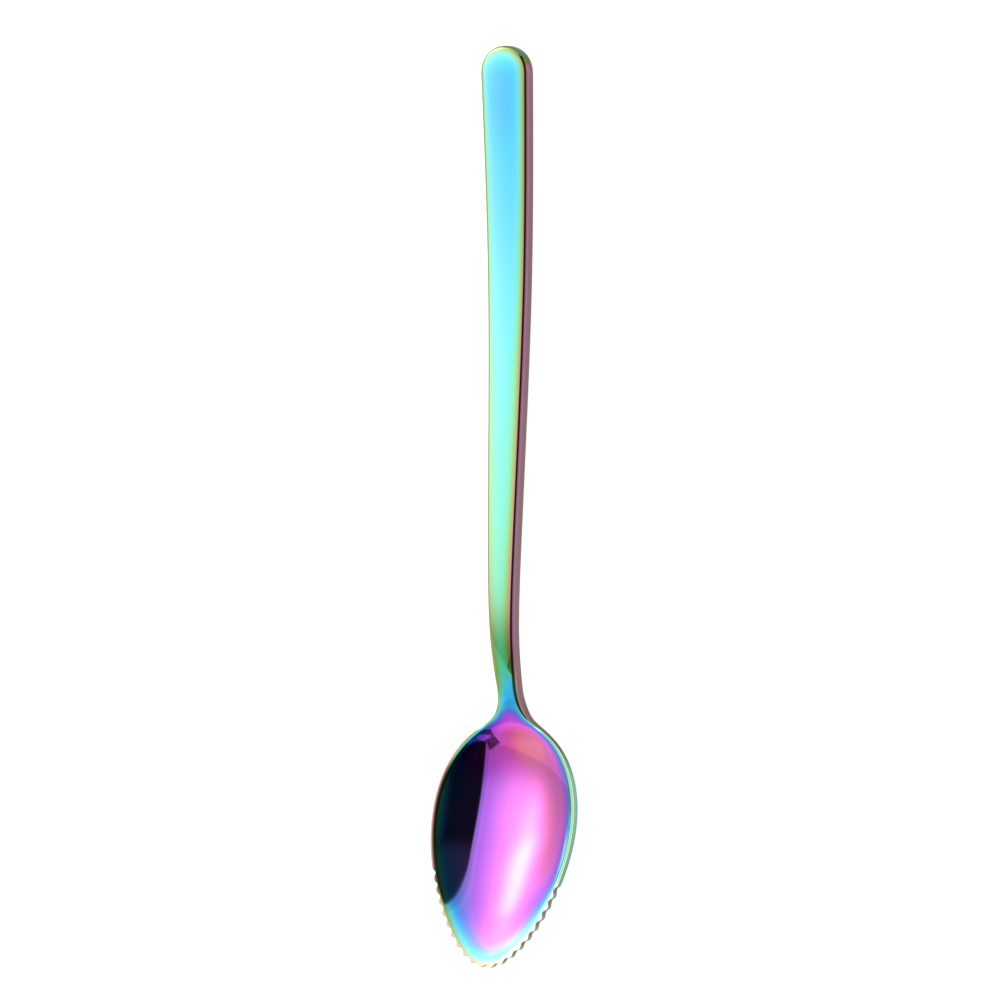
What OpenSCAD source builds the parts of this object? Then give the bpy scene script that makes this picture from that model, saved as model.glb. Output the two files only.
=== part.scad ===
// Grapefruit spoon: one pressed and forged piece of steel with a toothed bowl.
// The tip of the bowl points to -Y, the handle runs to +Y, and +Z is up.
// Places along the spoon are distances from the tip of the bowl.

/* [Spoon] */
// Length from the tip of the bowl to the end of the handle
spoon_l = 178; // [160:0.5:200]

/* [Bowl] */
// Length of the oval that the rim of the bowl follows
bowl_l = 46.9; // [42:0.1:54]
// Width of the bowl at its widest place
bowl_w = 31.7; // [26:0.1:36]
// Place of the widest width, as a share of the length of the oval
bowl_wide_share = 0.59; // [0.52:0.01:0.63]
// Depth of the hollow below the rim at the widest place
bowl_depth = 4.8; // [3.5:0.1:7]
// Height of metal in the bowl, measured straight down
bowl_t = 1.2; // [0.9:0.1:1.8]
// Radius of the rounded rim
bowl_edge_r = 0.15; // [0.1:0.05:0.4]
// Width of the flat rim that is left between the hollow and a gullet
rim_flat_w = 0.05; // [0.02:0.01:0.4]
// How much deeper the hollow curves at the tip than at the widest place
tip_curl_share = 0.8; // [0:0.1:1.2]
// Distance from the tip over which that curl fades
tip_curl_l = 10; // [6:0.5:16]
// Height of the tip above the back of the rim
tip_rise = 11.2; // [6:0.1:16]
// Height of the widest place above the back of the rim
wide_rise = 3.6; // [2:0.2:8]
// Length over which the rim line bends at the widest place
rim_bend_l = 16; // [6:1:24]

/* [Teeth] */
// Length of one tooth and its gullet along the rim
tooth_pitch = 2.37; // [1.8:0.01:3]
// Depth of a gullet
tooth_depth = 0.56; // [0.3:0.01:0.9]
// Teeth on the left of the tip, seen from above with the tip down
left_teeth = 10; // [4:1:11]
// Teeth on the right of the tip
right_teeth = 9; // [4:1:11]

/* [Neck] */
// Width of the neck
neck_w = 4.4; // [3.4:0.1:6]
// Height of metal in the neck
neck_t = 3.2; // [2.4:0.1:4]
// Distance from the oval's end to the narrow place of the neck
neck_gap = 5; // [3:0.5:9]
// How far each side of the handle bows out beyond a straight taper
side_bow = 0.4; // [0:0.05:1]
// Distance from the neck over which the sides bow out
side_bow_l = 15; // [8:1:30]
// Width over which the sides of the neck flare into the rim
shoulder_w = 9.4; // [3:0.1:10]
// Height of the crest of the neck above the back of the rim
crest_rise = 5.7; // [2:0.1:8]
// Distance from the oval's end to the crest of the neck
crest_gap = 14; // [10:0.5:20]
// Length over which the side line bends at the back of the rim
back_bend_l = 4.5; // [4:0.5:12]
// Length over which the side line bends at the crest
crest_bend_l = 10; // [6:0.5:16]

/* [Handle] */
// Width of the handle where its round end begins
handle_w = 10.5; // [8:0.1:11.2]
// Height of metal at the sides of the handle's end
handle_t = 2.9; // [2.2:0.1:3.6]
// Length of the round end
end_l = 5.7; // [5.2:0.1:9]
// Power of the round end's curve: 2 is an ellipse, and more is squarer
end_power = 2.2; // [2:0.1:2.6]
// Radius of the handle's long edges
handle_edge_r = 0.9; // [0.4:0.05:1.05]
// Height of the crown over the handle's width, on its face and its back
crown_h = 0.3; // [0:0.05:0.6]
// Length of the handle's end part that lies flat
flat_l = 44; // [25:1:60]
// Depth of the face's edges below the back of the rim, where the flat part begins
flat_drop = 0.9; // [0:0.1:4]
// Height of the face's edges above the back of the rim, at the end
end_rise = 0.7; // [0:0.1:3]
// Length over which the side line bends where the flat part begins
flat_bend_l = 24; // [10:1:40]

/* [Hidden] */

// Facets
tooth_steps = 6;
back_steps = 26;
neck_steps = 12;
handle_steps = 22;
end_steps = 10;
face_steps = 6;
edge_step = 30;

// Places along the spoon
wide_at = bowl_l * bowl_wide_share;
neck_at = bowl_l + neck_gap;
crest_at = bowl_l + crest_gap;
flat_at = spoon_l - flat_l;
end_at = spoon_l - end_l;
bowl_end_at = neck_at;
handle_start_at = crest_at + crest_bend_l;
tooth_step_l = tooth_pitch / tooth_steps;
most_teeth = max(left_teeth, right_teeth);

// The flare of the shoulder and the small step that slopes are measured over
shoulder_area = pow(shoulder_w, 2) / 2;
probe_l = bowl_l / 1000;

// Width of the flat rim round the hollow, that the teeth are cut into
rim_w = tooth_depth + bowl_edge_r + rim_flat_w;

// Share of a rung, from its foot to the edge, that lies beside the rounded edge
band_share = 0.06;
// Share of the way to the outline's own centre that the end's rungs lean
end_lean_share = 0.5;

function ease(s) = s <= 0 ? 0 : s >= 1 ? 1 : pow(s, 3) * (10 - 15 * s + 6 * s * s);
function mix(a, b, share) = a + (b - a) * share;
function soft_max(a, b, width) = (a + b + sqrt(pow(a - b, 2) + width * width)) / 2;
function soft_ramp(run, width) = (run + sqrt(run * run + width * width)) / 2;

// Plan outline, as the square of the half width: an egg-shaped oval for the
// bowl, which flares into the straight taper of the neck and the handle
egg = (1 - 2 * bowl_wide_share) / (3 * pow(bowl_wide_share, 2) - 2 * bowl_wide_share);
function egg_form(share) = share * (1 - share) * (1 + egg * share);
function oval_area(at) = pow(bowl_w / 2, 2) * egg_form(at / bowl_l) / egg_form(bowl_wide_share);
function taper(at) =
    let (share = (at - neck_at) / (end_at - neck_at))
    mix(neck_w, handle_w, share) / 2
    + side_bow * (1 - share) * (1 - exp((neck_at - at) / side_bow_l));
function taper_area(at) =
    pow(taper(at), 2) * (at <= end_at ? 1 : 1 - pow((at - end_at) / end_l, end_power));
function flare(at) =
    shoulder_area * ease((at - wide_at) / (bowl_l - wide_at))
    * (1 - ease((at - bowl_l) / (2 * neck_gap)));
function half_area(at) =
    at <= wide_at ? oval_area(at) : soft_max(oval_area(at), taper_area(at), flare(at));
function half_w(at) = sqrt(max(half_area(at), 0));
function area_slope(at) =
    (half_area(at + probe_l) - half_area(at - probe_l)) / (2 * probe_l);

// Side line of the face's edges: straight runs with soft bends
line_at = [0, wide_at, bowl_l, crest_at, flat_at, spoon_l];
line_h = [tip_rise, wide_rise, 0, crest_rise, -flat_drop, end_rise];
bend_l = [0, rim_bend_l, back_bend_l, crest_bend_l, flat_bend_l];
function run_slope(k) = (line_h[k + 1] - line_h[k]) / (line_at[k + 1] - line_at[k]);
function bend(at, k) =
    (run_slope(k) - run_slope(k - 1))
    * (soft_ramp(at - line_at[k], bend_l[k]) - soft_ramp(-line_at[k], bend_l[k]));
function side_line(at) =
    tip_rise + run_slope(0) * at + bend(at, 1) + bend(at, 2) + bend(at, 3) + bend(at, 4);

// From the bowl's form to the handle's, over the shoulder
function handle_share(at) = ease((at - bowl_l + back_bend_l) / (2 * back_bend_l));
function metal_t(at) =
    mix(bowl_t, mix(neck_t, handle_t, (at - neck_at) / (end_at - neck_at)), handle_share(at));
function edge_r(at) = mix(bowl_edge_r, handle_edge_r, handle_share(at));

// Distance from a rim place to the foot of its rung, and the square of the half
// width that the flat rim leaves to the hollow
function reach_of(at) = sqrt(max(half_area(at), 0) + pow(area_slope(at) / 2, 2));
function hollow_area(at) =
    half_area(at) - 2 * rim_w * (1 - handle_share(at)) * reach_of(at);

// Hollow of the bowl and crown of the handle, per unit of width squared
hollow_bend = bowl_depth / (pow(bowl_w / 2, 2) - rim_w * bowl_w);
belly_bend = bowl_depth / pow(bowl_w / 2, 2);
crown_bend = crown_h / pow(handle_w / 2, 2);
function curl(at) = 1 + tip_curl_share * exp(-pow(at / tip_curl_l, 2));
function face_bend(at) = mix(hollow_bend * curl(at), -crown_bend, handle_share(at));
function back_bend(at) = mix(belly_bend * curl(at), crown_bend, handle_share(at));
function face_z(x, at) = side_line(at) - face_bend(at) * max(hollow_area(at) - x * x, 0);
function back_z(x, at) =
    side_line(at) - metal_t(at) - back_bend(at) * (half_area(at) - x * x);

// A rung runs square to the outline, from its foot on the middle line
function rung_foot(at) =
    at < wide_at ? at + area_slope(at) / 2
    : at > end_at ? at + end_lean_share * area_slope(at) / 2
    : at;

// Rim places one tooth step apart along the rim, from the tip on
tip_r = area_slope(0) / 2;
function rim_pace(at) =
    2 * half_w(at) / sqrt(4 * half_area(at) + pow(area_slope(at), 2)) * tooth_step_l;
function next_rim(at) =
    at == 0 ? pow(tooth_step_l, 2) / (2 * tip_r) : at + rim_pace(at + rim_pace(at) / 2);
toothed_count = round((most_teeth + 1 / 2) * tooth_steps);
toothed_at = [for (i = 0, at = 0; i <= toothed_count; i = i + 1, at = next_rim(at)) at];
toothed_end = toothed_at[toothed_count];

// A gullet lies on the middle line, and the last tooth runs out level with the rim
function gullet(i, teeth) =
    i > (teeth + 1 / 2) * tooth_steps ? 0
    : tooth_depth * (1 + cos(360 * i / tooth_steps)) / 2;

// Half a cross-section, from the middle of the face round the edge to the
// middle of the back, along the rung whose rim place is given
function rung_runs(at, reach, cut) =
    let (
        r = edge_r(at),
        inner = mix(reach - rim_w, reach * (1 - band_share) - handle_edge_r, handle_share(at)))
    concat(
        [for (k = [0:face_steps]) [inner * k / face_steps, 0]],
        [for (turn = [0:edge_step:90])
            [reach - cut - r + r * sin(turn), r * (1 - cos(turn))]]);
function half_section(at, side, cut) =
    let (
        foot = rung_foot(at),
        rim = [half_w(at), at - foot],
        reach = norm(rim),
        runs = rung_runs(at, reach, cut),
        last = len(runs) - 1)
    concat(
        [for (p = runs)
            let (x = rim[0] * p[0] / reach, y = foot + rim[1] * p[0] / reach)
            [side * x, y, face_z(x, y) - p[1]]],
        [for (k = [last:-1:0])
            let (p = runs[k], x = rim[0] * p[0] / reach, y = foot + rim[1] * p[0] / reach)
            [side * x, y, back_z(x, y) + p[1]]]);
function ring(at, right_cut, left_cut) =
    let (right = half_section(at, 1, right_cut), left = half_section(at, -1, left_cut))
    concat(right, [for (k = [len(left) - 2:-1:1]) left[k]]);

half_count = 2 * (face_steps + 1 + 90 / edge_step + 1);
ring_count = 2 * half_count - 2;

// Places of the cross-sections
bowl_back_at = [for (k = [1:back_steps])
    mix(toothed_end, bowl_end_at, sin(90 * k / back_steps))];
neck_places = [for (k = [0:neck_steps]) mix(bowl_end_at, handle_start_at, k / neck_steps)];
handle_places = [for (k = [0:handle_steps]) mix(handle_start_at, end_at, k / handle_steps)];
end_places = [for (k = [1:end_steps]) end_at + end_l * sin(90 * k / end_steps)];

// The spoon stands on its lowest places
table_z = min([for (at = concat(toothed_at, bowl_back_at, neck_places, handle_places))
    back_z(0, at)]);
function placed(points) = [for (p = points) [p[0], p[1] - spoon_l / 2, p[2] - table_z]];

// Solid through a row of rings. A tapered end closes on a single half section
// in the middle plane, and a flat end is closed by strips across the metal
function corner(i, j, last, closes) =
    let (k = j % ring_count)
    i * ring_count + (closes && i == last && k >= half_count ? ring_count - k : k);
function skin_faces(last, closes) =
    [for (i = [0:last - 1], j = [0:ring_count - 1], half = [0, 1])
        let (
            a = corner(i, j, last, closes),
            b = corner(i, j + 1, last, closes),
            c = corner(i + 1, j + 1, last, closes),
            d = corner(i + 1, j, last, closes))
        half == 0 ? [a, b, c] : [a, c, d]];
function strip(i, a, b, c, d, first) =
    first ? [[i + a, i + c, i + b], [i + a, i + d, i + c]]
    : [[i + a, i + b, i + c], [i + a, i + c, i + d]];
function cap_faces(i, first) =
    [for (k = [0:half_count / 2 - 2], side = [0, 1],
          t = side == 0
              ? strip(i * ring_count, k, k + 1, half_count - 2 - k, half_count - 1 - k, first)
              : strip(i * ring_count, (ring_count - k) % ring_count, half_count - 1 + k,
                      half_count + k, ring_count - k - 1, first))
        t];
module loft(rings, closes, to_tip) {
    last = len(rings) - 1;
    faces = concat(
        skin_faces(last, closes),
        cap_faces(0, true),
        closes ? [] : cap_faces(last, false));
    polyhedron(
        points = placed([for (r = rings, p = r) p]),
        faces = to_tip ? faces : [for (f = faces) [f[0], f[2], f[1]]],
        convexity = 6);
}

// Bowl, with its toothed front edge
module bowl() {
    back = len(bowl_back_at) - 1;
    color("orchid")
        loft(concat(
            [for (k = [back:-1:0]) ring(bowl_back_at[k], 0, 0)],
            [for (i = [toothed_count:-1:1])
                ring(toothed_at[i], gullet(i, right_teeth), gullet(i, left_teeth))],
            [half_section(0, 1, gullet(0, right_teeth))]),
            true, true);
}

// Neck, from the shoulder of the bowl over its crest
module neck() {
    color("mediumaquamarine")
        loft([for (at = neck_places) ring(at, 0, 0)], false, false);
}

// Handle, with its round end
module handle() {
    color("mediumturquoise")
        loft(concat(
            [for (at = handle_places) ring(at, 0, 0)],
            [for (k = [0:end_steps - 2]) ring(end_places[k], 0, 0)],
            [half_section(spoon_l, 1, 0)]),
            true, false);
}

bowl();
neck();
handle();
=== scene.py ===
"""A mirror-polished grapefruit spoon under a rainbow film.

The spoon is one forging. Its skin is a grid that is wrapped round the metal:
every rung of the grid is one cross-section, from the middle of the back, round
the left edge, over the face, round the right edge and back. The film's
thickness and its two tones are kept on the skin as attributes, and the finish
turns them into colour. Besides the film's own colour, the tones carry painted
light and shade: painted reflections, painted dim bands and painted glints.
"""

import math

import bmesh
import bpy
from bpy.props import FloatProperty, FloatVectorProperty, IntProperty, PointerProperty
from mathutils import Matrix, Vector


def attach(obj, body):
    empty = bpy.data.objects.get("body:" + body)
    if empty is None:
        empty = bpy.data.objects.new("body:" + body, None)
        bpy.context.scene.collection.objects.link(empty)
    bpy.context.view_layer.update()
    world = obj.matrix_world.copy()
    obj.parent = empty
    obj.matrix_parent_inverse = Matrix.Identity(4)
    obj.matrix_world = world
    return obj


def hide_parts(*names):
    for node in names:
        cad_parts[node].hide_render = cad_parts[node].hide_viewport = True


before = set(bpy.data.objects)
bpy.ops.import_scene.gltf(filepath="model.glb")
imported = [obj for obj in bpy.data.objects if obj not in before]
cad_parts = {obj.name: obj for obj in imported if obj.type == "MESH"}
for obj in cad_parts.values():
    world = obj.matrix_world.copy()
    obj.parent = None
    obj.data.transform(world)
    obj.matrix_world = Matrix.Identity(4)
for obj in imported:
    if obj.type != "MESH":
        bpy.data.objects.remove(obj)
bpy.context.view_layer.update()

bl_info = {
    "name": "Grapefruit Spoon",
    "version": (1, 0, 0),
    "blender": (4, 5, 0),
    "location": "View3D > Sidebar > Spoon",
    "description": "Forges a toothed spoon, coats it with a rainbow film and sets its stage",
    "category": "Object",
}

MM = 0.001


def length(name, description, millimetres):
    """A length that a user can change, written in millimetres and kept in metres."""
    return FloatProperty(name=name, description=description, default=millimetres * MM,
                         subtype="DISTANCE", unit="LENGTH", precision=5)


def share(name, description, default):
    """A share that a user can change."""
    return FloatProperty(name=name, description=description, default=default,
                         subtype="FACTOR", min=-1.0, max=4.0, precision=3)


def angle(name, description, degrees):
    """An angle that a user can change, written in degrees."""
    return FloatProperty(name=name, description=description,
                         default=math.radians(degrees), subtype="ANGLE", unit="ROTATION")


def to_linear(value):
    """A screen value from 0 to 1 as linear light."""
    return value / 12.92 if value <= 0.04045 else ((value + 0.055) / 1.055) ** 2.4


def colour(name, description, red, green, blue):
    """A colour that a user can change, written as it shows on the screen, from 0 to 255."""
    return FloatVectorProperty(name=name, description=description, size=3,
                               default=tuple(to_linear(c / 255) for c in (red, green, blue)),
                               subtype="COLOR", min=0.0, max=1.0)


class SpoonSizes(bpy.types.PropertyGroup):
    """Real sizes of the forging."""
    spoon_l: length("Spoon length", "From the bowl's tip to the handle's end", 178)
    bowl_l: length("Bowl length", "Length of the oval that the rim follows", 46.9)
    bowl_w: length("Bowl width", "Width of the bowl at its widest place", 31.7)
    bowl_wide: share("Widest place", "Place of the widest width along the oval", 0.59)
    bowl_depth: length("Bowl depth", "Depth of the hollow below the rim", 4.8)
    bowl_t: length("Bowl metal", "Height of metal in the bowl", 1.2)
    bowl_edge_r: length("Rim radius", "Radius of the rounded rim", 0.15)
    rim_flat_w: length("Flat rim", "Width left between the hollow and a gullet", 0.05)
    tip_curl: share("Tip curl", "How much deeper the hollow curves at the tip", 0.8)
    tip_curl_l: length("Tip curl length", "Distance over which that curl fades", 10)
    tip_rise: length("Tip rise", "Height of the tip above the back of the rim", 11.2)
    wide_rise: length("Side rise", "Height of the widest place above the back of the rim", 3.6)
    rim_bend_l: length("Rim bend", "Length over which the rim line bends", 16)
    tooth_pitch: length("Tooth pitch", "Length of one tooth and its gullet", 2.37)
    tooth_depth: length("Tooth depth", "Depth of a gullet", 0.56)
    left_teeth: IntProperty(name="Left teeth", description="Teeth on the left of the tip", default=10)
    right_teeth: IntProperty(name="Right teeth", description="Teeth on the right of the tip", default=9)
    neck_w: length("Neck width", "Width of the neck", 4.4)
    neck_t: length("Neck metal", "Height of metal in the neck", 3.2)
    neck_gap: length("Neck gap", "From the oval's end to the narrow place of the neck", 5)
    side_bow: length("Side bow", "How far a side of the handle bows out", 0.4)
    side_bow_l: length("Side bow length", "Distance over which the sides bow out", 15)
    shoulder_w: length("Shoulder", "Width over which the neck flares into the rim", 9.4)
    crest_rise: length("Crest rise", "Height of the neck's crest above the back of the rim", 5.7)
    crest_gap: length("Crest gap", "From the oval's end to the crest", 14)
    back_bend_l: length("Back bend", "Length of the bend at the back of the rim", 4.5)
    crest_bend_l: length("Crest bend", "Length of the bend at the crest", 10)
    handle_w: length("Handle width", "Width where the round end begins", 10.5)
    handle_t: length("Handle metal", "Height of metal at the handle's end", 2.9)
    end_l: length("Round end", "Length of the round end", 5.7)
    end_power: FloatProperty(name="End power", description="2 is an ellipse, and more is squarer",
                             default=2.2, min=1.5, max=4.0)
    handle_edge_r: length("Edge radius", "Radius of the handle's long edges", 0.8)
    crown_h: length("Crown", "Height of the crown over the handle's width", 0.3)
    flat_l: length("Flat end", "Length of the handle's part that lies flat", 44)
    flat_drop: length("Flat drop", "Depth below the back of the rim where the flat part begins", 0.9)
    end_rise: length("End rise", "Height above the back of the rim at the end", 0.7)
    flat_bend_l: length("Flat bend", "Length of the bend where the flat part begins", 24)
    tooth_steps: IntProperty(name="Tooth steps", description="Rungs in one tooth", default=12)
    face_steps: IntProperty(name="Face steps", description="Steps from the middle to the edge", default=22)
    round_steps: IntProperty(name="Round steps", description="Steps round one rounded edge", default=7)


class SpoonFilm(bpy.types.PropertyGroup):
    """Colours of the film, from its thickest place to its thinnest."""
    salmon: colour("Salmon", "Thickest film", 245, 135, 170)
    rose: colour("Rose", "Film at the back of the bowl", 237, 122, 198)
    magenta: colour("Magenta", "Film in the bowl", 236, 126, 233)
    violet: colour("Violet", "Film round the hollow", 200, 117, 255)
    azure: colour("Azure", "Film between the violet and the blue", 139, 151, 255)
    sky: colour("Sky", "Film on the handle's end", 120, 181, 255)
    cyan: colour("Cyan", "Film on the handle's middle", 113, 211, 255)
    aqua: colour("Aqua", "Film on the handle's root", 139, 223, 233)
    mint: colour("Mint", "Film on the neck", 151, 223, 185)
    lime: colour("Lime", "Film beside the edges", 167, 201, 143)
    straw: colour("Straw", "Film close to the edges", 182, 176, 123)
    blush: colour("Blush", "Film on the rounded edges", 219, 160, 166)
    mauve: colour("Mauve", "Thin film, on the side walls", 191, 139, 171)
    taupe: colour("Taupe", "Thinnest film, low on the side walls", 183, 158, 140)
    roughness: share("Roughness", "Roughness of the polished metal", 0.045)


class SpoonStudio(bpy.types.PropertyGroup):
    """Where the camera stands, and how the soft light falls."""
    roll: angle("Roll", "How far the camera leans to the right of straight above", 29.19)
    pitch: angle("Pitch", "How far the camera leans towards the bowl", -2.53)
    spin: angle("Spin", "Turn of the picture", -0.55)
    distance: length("Distance", "From the camera to the spoon", 1200)
    lens: FloatProperty(name="Lens", description="Focal length in millimetres", default=222.2)
    aim_x: length("Aim across", "Picture's middle, to the right of the spoon's middle", -3.27)
    aim_y: length("Aim along", "Picture's middle, above the spoon's middle", 0.91)
    floor_size: length("Floor size", "Side of the square floor", 6000)
    floor_grey: share("Floor grey", "Lightness of the pale floor", 0.5)
    floor_lift: share("Floor lift", "Light that the floor adds towards the camera", 0.9)
    mirrored_lift: share("Mirrored lift", "Light that the floor adds in the metal's mirror", 0.32)


# Form of the metal, the same as the solid's but for a tighter radius of the handle's
# long edges. Places along the spoon are distances from the bowl's tip.

def ease(part):
    """A soft step from 0 to 1."""
    part = min(max(part, 0.0), 1.0)
    return part ** 3 * (10 - 15 * part + 6 * part * part)


def mix(a, b, part):
    """The value that lies part of the way from a to b."""
    return a + (b - a) * part


def soft_max(a, b, width):
    """The larger of two values, with the corner between them rounded."""
    return (a + b + math.sqrt((a - b) ** 2 + width * width)) / 2


def soft_ramp(run, width):
    """Zero before the start and the run after it, with a rounded corner."""
    return (run + math.sqrt(run * run + width * width)) / 2


# Length over which a slope is measured, as a share of the bowl's
PROBE_SHARE = 0.001
# How far the rungs of the handle's round end lean along with the outline
END_LEAN_SHARE = 0.5


class Form:
    """The spoon's shape, as heights and widths at any place."""

    def __init__(self, sizes):
        self.s = s = sizes
        self.wide_at = s.bowl_l * s.bowl_wide
        self.neck_at = s.bowl_l + s.neck_gap
        self.crest_at = s.bowl_l + s.crest_gap
        self.end_at = s.spoon_l - s.end_l
        self.probe = s.bowl_l * PROBE_SHARE
        wide = s.bowl_wide
        self.egg = (1 - 2 * wide) / (3 * wide ** 2 - 2 * wide)
        self.wide_form = self.egg_form(wide)
        self.line_at = [0, self.wide_at, s.bowl_l, self.crest_at, s.spoon_l - s.flat_l, s.spoon_l]
        self.line_h = [s.tip_rise, s.wide_rise, 0, s.crest_rise, -s.flat_drop, s.end_rise]
        self.bends = [0, s.rim_bend_l, s.back_bend_l, s.crest_bend_l, s.flat_bend_l]
        self.rim_w = s.tooth_depth + s.bowl_edge_r + s.rim_flat_w
        self.hollow_bend = s.bowl_depth / ((s.bowl_w / 2) ** 2 - self.rim_w * s.bowl_w)
        self.belly_bend = s.bowl_depth / (s.bowl_w / 2) ** 2
        self.crown_bend = s.crown_h / (s.handle_w / 2) ** 2
        self.lift = 0.0

    def egg_form(self, part):
        return part * (1 - part) * (1 + self.egg * part)

    def oval_area(self, at):
        return (self.s.bowl_w / 2) ** 2 * self.egg_form(at / self.s.bowl_l) / self.wide_form

    def taper(self, at):
        s = self.s
        part = (at - self.neck_at) / (self.end_at - self.neck_at)
        bow = s.side_bow * (1 - part) * (1 - math.exp((self.neck_at - at) / s.side_bow_l))
        return mix(s.neck_w, s.handle_w, part) / 2 + bow

    def taper_area(self, at):
        area = self.taper(at) ** 2
        past = (at - self.end_at) / self.s.end_l
        return area if past <= 0 else area * (1 - past ** self.s.end_power)

    def half_area(self, at):
        """Square of half the spoon's width."""
        if at <= self.wide_at:
            return self.oval_area(at)
        flare = (self.s.shoulder_w ** 2 / 2
                 * ease((at - self.wide_at) / (self.s.bowl_l - self.wide_at))
                 * (1 - ease((at - self.s.bowl_l) / (2 * self.s.neck_gap))))
        return soft_max(self.oval_area(at), self.taper_area(at), flare)

    def half_w(self, at):
        return math.sqrt(max(self.half_area(at), 0))

    def area_slope(self, at):
        return (self.half_area(at + self.probe) - self.half_area(at - self.probe)) / (2 * self.probe)

    def run_slope(self, k):
        return (self.line_h[k + 1] - self.line_h[k]) / (self.line_at[k + 1] - self.line_at[k])

    def side_line(self, at):
        """Height of the face's edges."""
        height = self.s.tip_rise + self.run_slope(0) * at
        for k in range(1, len(self.bends)):
            turn = self.run_slope(k) - self.run_slope(k - 1)
            start = self.line_at[k]
            height += turn * (soft_ramp(at - start, self.bends[k]) - soft_ramp(-start, self.bends[k]))
        return height

    def handle_part(self, at):
        """0 in the bowl and 1 in the handle."""
        return ease((at - self.s.bowl_l + self.s.back_bend_l) / (2 * self.s.back_bend_l))

    def metal_t(self, at):
        s = self.s
        stem_t = mix(s.neck_t, s.handle_t, (at - self.neck_at) / (self.end_at - self.neck_at))
        return mix(s.bowl_t, stem_t, self.handle_part(at))

    def edge_r(self, at):
        return mix(self.s.bowl_edge_r, self.s.handle_edge_r, self.handle_part(at))

    def hollow_area(self, at):
        """Square of half the width that the flat rim leaves to the hollow."""
        area = self.half_area(at)
        reach = math.hypot(self.half_w(at), self.area_slope(at) / 2)
        return area - 2 * self.rim_w * (1 - self.handle_part(at)) * reach

    def curl(self, at):
        return 1 + self.s.tip_curl * math.exp(-(at / self.s.tip_curl_l) ** 2)

    def face_z(self, x, at):
        bend = mix(self.hollow_bend * self.curl(at), -self.crown_bend, self.handle_part(at))
        return self.side_line(at) - bend * max(self.hollow_area(at) - x * x, 0) + self.lift

    def back_z(self, x, at):
        bend = mix(self.belly_bend * self.curl(at), self.crown_bend, self.handle_part(at))
        return self.side_line(at) - self.metal_t(at) - bend * (self.half_area(at) - x * x) + self.lift

    def foot(self, at):
        """Where the rung that reaches the rim at this place leaves the middle line."""
        if at < self.wide_at:
            return at + self.area_slope(at) / 2
        if at > self.end_at:
            return at + END_LEAN_SHARE * self.area_slope(at) / 2
        return at

    def rim_pace(self, at, step):
        return 2 * self.half_w(at) / math.sqrt(4 * self.half_area(at) + self.area_slope(at) ** 2) * step

    def toothed_places(self):
        """Rim places one tooth step apart along the rim, from the tip on."""
        step = self.s.tooth_pitch / self.s.tooth_steps
        most = max(self.s.left_teeth, self.s.right_teeth)
        places = [0.0, step * step / self.area_slope(0)]
        while len(places) <= round((most + 0.5) * self.s.tooth_steps):
            at = places[-1]
            places.append(at + self.rim_pace(at + self.rim_pace(at, step) / 2, step))
        return places

    def gullet(self, i, teeth):
        """Depth of the cut at a tooth step. A gullet lies on the middle line."""
        if i > (teeth + 0.5) * self.s.tooth_steps:
            return 0.0
        return self.s.tooth_depth * (1 + math.cos(2 * math.pi * i / self.s.tooth_steps)) / 2


# Rungs of the grid behind the teeth
BACK_STEPS = 120
NECK_STEPS = 90
HANDLE_STEPS = 190
END_STEPS = 50
# Points of a rung: its steps crowd towards the band beside the edge
STEP_POWER = 1.3
BAND_SHARE = 0.06
BAND_STEPS = 3
WALL_STEPS = 3


def rungs_of(form):
    """Every rung as its rim place, its right cut and its left cut."""
    s = form.s
    toothed = form.toothed_places()
    rungs = [(at, form.gullet(i, s.right_teeth), form.gullet(i, s.left_teeth))
             for i, at in enumerate(toothed)]
    handle_start = form.crest_at + s.crest_bend_l
    plain = [mix(toothed[-1], form.neck_at, math.sin(math.pi / 2 * k / BACK_STEPS))
             for k in range(1, BACK_STEPS + 1)]
    plain += [mix(form.neck_at, handle_start, k / NECK_STEPS) for k in range(1, NECK_STEPS + 1)]
    plain += [mix(handle_start, form.end_at, k / HANDLE_STEPS) for k in range(1, HANDLE_STEPS + 1)]
    plain += [form.end_at + s.end_l * math.sin(math.pi / 2 * k / END_STEPS)
              for k in range(1, END_STEPS + 1)]
    return rungs + [(at, 0.0, 0.0) for at in plain]


def half_rung(form, rung, side):
    """Points of half a cross-section, from the middle of the face to the middle of the
    back, each with its film and its two tones."""
    at, right_cut, left_cut = rung
    s = form.s
    cut = right_cut if side > 0 else left_cut
    foot = form.foot(at)
    rim_x, rim_y = form.half_w(at), at - foot
    reach = math.hypot(rim_x, rim_y)
    r = form.edge_r(at)
    inner = mix(reach - form.rim_w, reach * (1 - BAND_SHARE) - s.handle_edge_r,
                form.handle_part(at))
    edge = reach - cut - r
    runs = [(inner * (1 - (1 - k / s.face_steps) ** STEP_POWER), 0.0) for k in range(s.face_steps)]
    runs += [(mix(inner, edge, k / BAND_STEPS), 0.0) for k in range(BAND_STEPS)]
    turns = [math.pi / 2 * k / s.round_steps for k in range(s.round_steps + 1)]
    runs += [(edge + r * math.sin(t), r * (1 - math.cos(t))) for t in turns]

    face, back = [], []
    for run, drop in runs:
        x, y = rim_x * run / reach, foot + rim_y * run / reach
        coat = face_coat(form, at, side * x, side * rim_x / reach, reach - run)
        turned = math.sqrt(drop / r) if drop < r else 1.0
        heights = form.face_z(x, y) - drop, form.back_z(x, y) + drop
        for down, (points, z) in enumerate(zip((face, back), heights)):
            wall = wall_coat(form, at, side, cut, down)
            points.append((x, y, z, *(mix(a, b, turned) for a, b in zip(coat, wall))))
    top, bottom = face[-1], back[-1]
    wall = [tuple(mix(a, b, k / WALL_STEPS) for a, b in zip(top, bottom))
            for k in range(1, WALL_STEPS)]
    return face + wall + back[::-1]
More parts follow.
